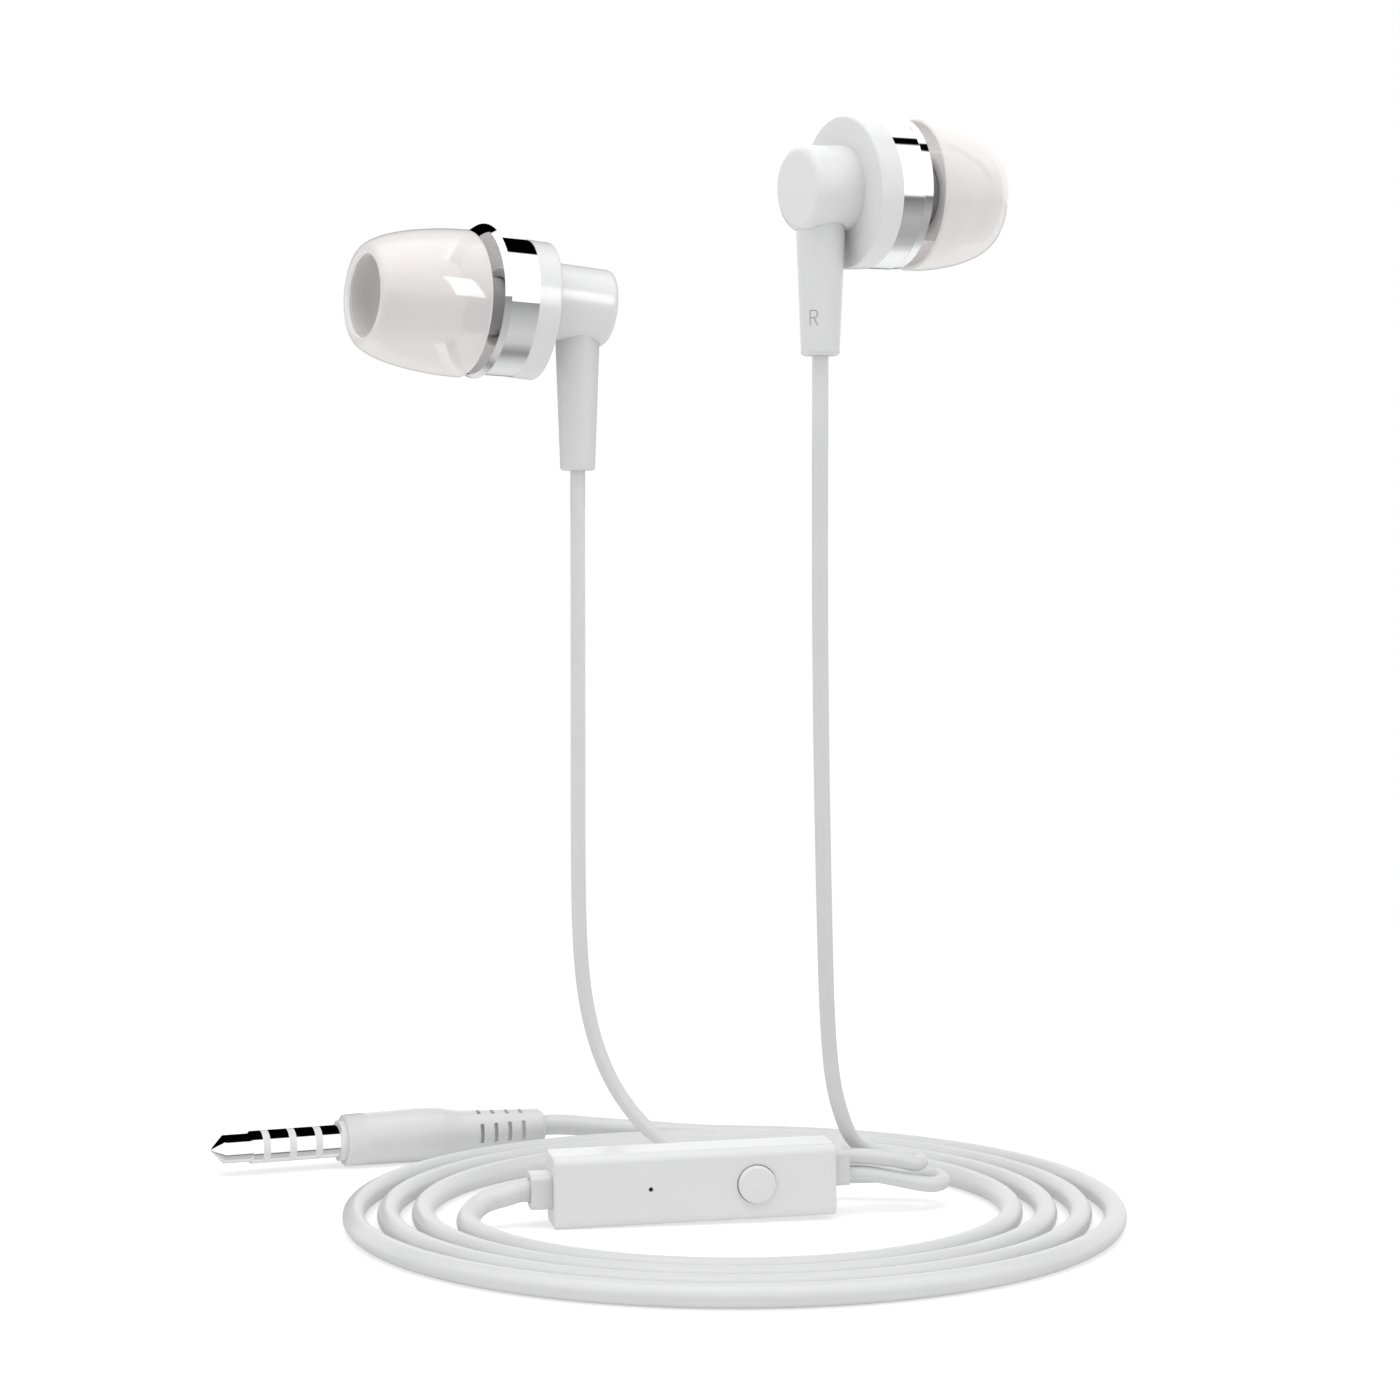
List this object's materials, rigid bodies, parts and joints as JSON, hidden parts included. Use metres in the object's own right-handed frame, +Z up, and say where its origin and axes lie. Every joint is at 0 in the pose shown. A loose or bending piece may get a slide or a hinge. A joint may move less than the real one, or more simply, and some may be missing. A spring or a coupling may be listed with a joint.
{
  "type": "wired earphones",
  "caption": "White wired in-ear earphones with chrome barrels and silicone tips, inline button remote, coiled lead and 3.5 mm four-pole plug.",
  "frame": {"origin": "centre of the lead's coil on the surface it rests on", "axes": "+Z up, +X towards the right collar of the remote, +Y towards the plug's side of the coil; the button faces -Y"},
  "size_m": [0.0952, 0.0795, 0.1085],
  "materials": {
    "white_gloss": "glossy moulded plastic",
    "white_soft": "semi-gloss flexible plastic",
    "cable": "semi-gloss flexible jacket",
    "chrome": "polished plating",
    "silicone": "translucent silicone",
    "grey_plastic": "moulded plastic",
    "black_plastic": "moulded plastic",
    "black_rubber": "soft ring",
    "steel": "plain steel",
    "copper": "enamelled wire",
    "film": "thin film",
    "board": "circuit board"
  },
  "bodies": {
    "base": {"remote_front_shell": "white_gloss", "remote_back_shell": "white_gloss", "circuit_board": "board", "switch_body": "steel", "mic_capsule": "steel", "mic_gasket": "black_rubber", "remote_collar_left": "white_soft", "remote_collar_right": "white_soft", "lead_cable": "cable", "left_cable_lower": "cable", "right_cable_lower": "cable"},
    "button": {"remote_button": "white_gloss", "switch_plunger": "black_plastic"},
    "plug": {"plug_shoulder": "white_gloss", "plug_boot": "white_soft", "plug_sleeve": "chrome", "plug_ring_a": "chrome", "plug_ring_b": "chrome", "plug_tip": "chrome", "plug_insulator_a": "white_gloss", "plug_insulator_b": "white_gloss", "plug_insulator_c": "white_gloss", "plug_liner": "black_plastic", "plug_solder_core": "black_plastic", "plug_cable_tail": "cable"},
    "left_cable": {"left_cable_upper": "cable"},
    "left_earbud": {"left_rear_shell": "white_gloss", "left_stem": "white_soft", "left_cable_end": "cable", "left_cable_anchor": "steel", "left_barrel": "chrome", "left_face_plate": "chrome", "left_nozzle": "grey_plastic", "left_nozzle_screen": "steel", "left_driver_frame": "black_plastic", "left_diaphragm": "film", "left_voice_coil": "copper", "left_top_plate": "steel", "left_magnet": "steel", "left_yoke": "steel"},
    "left_tip": {"left_ear_tip": "silicone"},
    "right_cable": {"right_cable_upper": "cable"},
    "right_earbud": {"right_rear_shell": "white_gloss", "right_stem": "white_soft", "right_cable_end": "cable", "right_cable_anchor": "steel", "right_barrel": "chrome", "right_face_plate": "chrome", "right_nozzle": "grey_plastic", "right_nozzle_screen": "steel", "right_driver_frame": "black_plastic", "right_diaphragm": "film", "right_voice_coil": "copper", "right_top_plate": "steel", "right_magnet": "steel", "right_yoke": "steel"},
    "right_tip": {"right_ear_tip": "silicone"}
  },
  "joints": [
    {"name": "button_press", "type": "slide", "parent": "base", "child": "button", "axis": [-0.1771, 0.9842, 0], "range_m": [0, 0.0003], "stiffness_N_per_m": 400},
    {"name": "plug_swing", "type": "hinge", "parent": "base", "child": "plug", "pos_m": [-0.02, 0.0357, 0.00285], "axis": [0, 0, 1], "range_deg": [-25, 10]},
    {"name": "left_cable_lean", "type": "hinge", "parent": "base", "child": "left_cable", "pos_m": [-0.01486, 0.01618, 0.01649], "axis": [1, 0, 0], "range_deg": [-20, 20]},
    {"name": "left_earbud_tilt", "type": "hinge", "parent": "left_cable", "child": "left_earbud", "pos_m": [-0.01638, 0.018, 0.074], "axis": [0, 1, 0], "range_deg": [-20, 20]},
    {"name": "left_tip_pull", "type": "slide", "parent": "left_earbud", "child": "left_tip", "axis": [-0.8695, -0.492, 0.0436], "range_m": [0, 0.008]},
    {"name": "right_cable_lean", "type": "hinge", "parent": "base", "child": "right_cable", "pos_m": [0.00953, -0.00074, 0.01696], "axis": [1, 0, 0], "range_deg": [-20, 20]},
    {"name": "right_earbud_tilt", "type": "hinge", "parent": "right_cable", "child": "right_earbud", "pos_m": [0.00785, -0.017, 0.08414], "axis": [0, 1, 0], "range_deg": [-20, 20]},
    {"name": "right_tip_pull", "type": "slide", "parent": "right_earbud", "child": "right_tip", "axis": [0.9026, 0.4305, 0], "range_m": [0, 0.008]}
  ]
}
